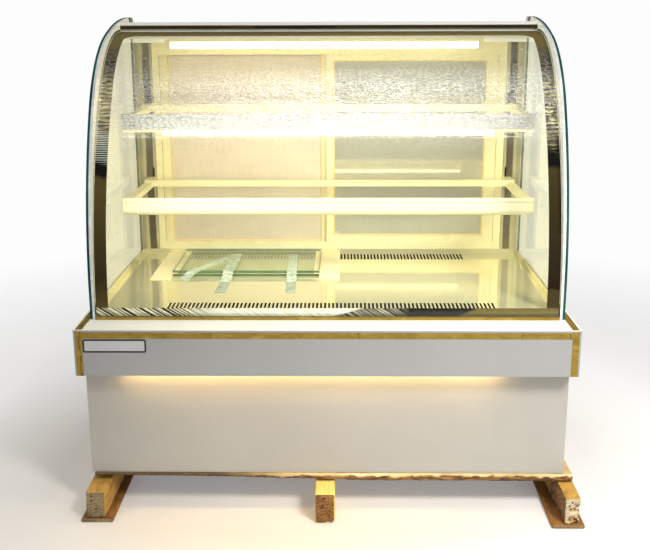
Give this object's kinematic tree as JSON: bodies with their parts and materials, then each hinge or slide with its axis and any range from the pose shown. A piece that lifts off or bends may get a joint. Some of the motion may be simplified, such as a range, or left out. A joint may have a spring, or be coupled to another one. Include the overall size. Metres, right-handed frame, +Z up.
{
  "type": "display showcase",
  "caption": "Refrigerated bakery showcase with a bent glass front, lit shelf frames, sliding rear doors and a machine base, standing on a timber skid.",
  "frame": {"origin": "on the floor, under the middle of the footprint of the skid and case", "axes": "+X to the right seen from the customer's side, +Y towards the staff's side with the sliding doors, +Z up"},
  "size_m": [1.252, 0.832, 1.2006],
  "materials": {
    "timber": "rough sawn",
    "bolt_zinc": "zinc plated",
    "galvanised": "galvanised",
    "satin_panel": "satin",
    "fascia_grey": "satin",
    "white_frame": "satin",
    "gold_mirror": "polished",
    "mirror_deck": "mirror polished",
    "post_mirror": "mirror polished",
    "cream_paint": "satin",
    "clear_glass": "polished with green edges",
    "door_glass": "tinted",
    "plate_glass": "polished with green edges",
    "light_white": "diffuse light cover",
    "black_paint": "gloss",
    "coil_aluminium": "mill",
    "fan_plastic": "moulded",
    "motor_steel": "satin",
    "copper_pipe": "drawn",
    "foam_tub": "foamed",
    "tray_plastic": "moulded",
    "control_plate": "textured",
    "control_black": "gloss",
    "button_grey": "moulded",
    "rocker_green": "gloss",
    "inlet_black": "moulded",
    "packing_card": "plain",
    "packing_tape": "thin film"
  },
  "bodies": {
    "case": {"skid_sole_left": "timber", "skid_sole_right": "timber", "skid_runner_left": "timber", "skid_runner_middle": "timber", "skid_runner_right": "timber", "skid_plank_front": "timber", "skid_plank_rear": "timber", "skid_bolts": "bolt_zinc", "base_tray": "galvanised", "base_front_panel": "satin_panel", "base_side_panel_left": "satin_panel", "base_side_panel_right": "satin_panel", "rear_grille": "galvanised", "grille_screws": "bolt_zinc", "power_inlet": "inlet_black", "compressor": "black_paint", "condenser_coil": "coil_aluminium", "condenser_fan_frame": "motor_steel", "condensate_tray": "tray_plastic", "refrigerant_pipes": "copper_pipe", "insulated_tub": "foam_tub", "evaporator_coil": "coil_aluminium", "evaporator_fan_frame": "motor_steel", "fascia_panel": "fascia_grey", "top_frame": "white_frame", "gold_trim": "gold_mirror", "base_led_strip": "light_white", "deck_panels": "mirror_deck", "side_glass_left": "clear_glass", "side_glass_right": "clear_glass", "front_glass": "clear_glass", "front_glass_border": "gold_mirror", "front_glass_channel": "gold_mirror", "top_bar": "gold_mirror", "top_cover": "white_frame", "lamp_housing": "cream_paint", "lamp_tube": "light_white", "door_surround": "cream_paint", "shelf_posts": "post_mirror", "lower_shelf_frame": "cream_paint", "upper_shelf_frame": "cream_paint", "lower_shelf_led": "light_white", "upper_shelf_led": "light_white", "loose_shelf_plates": "plate_glass", "packing_cards": "packing_card", "tape_strips": "packing_tape", "control_plate": "control_plate", "temperature_controller": "control_black", "switch_housings": "control_black"},
    "door_left": {"door_left_frame": "cream_paint", "door_left_glass": "door_glass"},
    "door_right": {"door_right_frame": "cream_paint", "door_right_glass": "door_glass"},
    "condenser_fan": {"condenser_fan": "fan_plastic"},
    "evaporator_fan_left": {"evaporator_fan_left": "fan_plastic"},
    "evaporator_fan_right": {"evaporator_fan_right": "fan_plastic"},
    "lamp_switch": {"lamp_switch_rocker": "rocker_green"},
    "power_switch": {"power_switch_rocker": "rocker_green"},
    "button_up": {"controller_button_up": "button_grey"},
    "button_down": {"controller_button_down": "button_grey"}
  },
  "joints": [
    {"name": "door_left_slide", "type": "slide", "parent": "case", "child": "door_left", "axis": [1, 0, 0], "range_m": [0, 0.48]},
    {"name": "door_right_slide", "type": "slide", "parent": "case", "child": "door_right", "axis": [1, 0, 0], "range_m": [-0.48, 0]},
    {"name": "condenser_fan_spin", "type": "hinge", "parent": "case", "child": "condenser_fan", "pos_m": [0.3, 0.262, 0.225], "axis": [0, 1, 0], "continuous": true},
    {"name": "evaporator_fan_left_spin", "type": "hinge", "parent": "case", "child": "evaporator_fan_left", "pos_m": [-0.22, -0.04, 0.443], "axis": [0, 1, 0], "continuous": true},
    {"name": "evaporator_fan_right_spin", "type": "hinge", "parent": "case", "child": "evaporator_fan_right", "pos_m": [0.22, -0.04, 0.443], "axis": [0, 1, 0], "continuous": true},
    {"name": "lamp_switch_rock", "type": "hinge", "parent": "case", "child": "lamp_switch", "pos_m": [0.447, 0.3612, 0.43], "axis": [1, 0, 0], "range_deg": [-16, 0]},
    {"name": "power_switch_rock", "type": "hinge", "parent": "case", "child": "power_switch", "pos_m": [0.479, 0.3612, 0.43], "axis": [1, 0, 0], "range_deg": [-16, 0]},
    {"name": "button_up_press", "type": "slide", "parent": "case", "child": "button_up", "axis": [0, -1, 0], "range_m": [0, 0.001], "stiffness_N_per_m": 150, "springref_m": -0.001},
    {"name": "button_down_press", "type": "slide", "parent": "case", "child": "button_down", "axis": [0, -1, 0], "range_m": [0, 0.001], "stiffness_N_per_m": 150, "springref_m": -0.001}
  ]
}
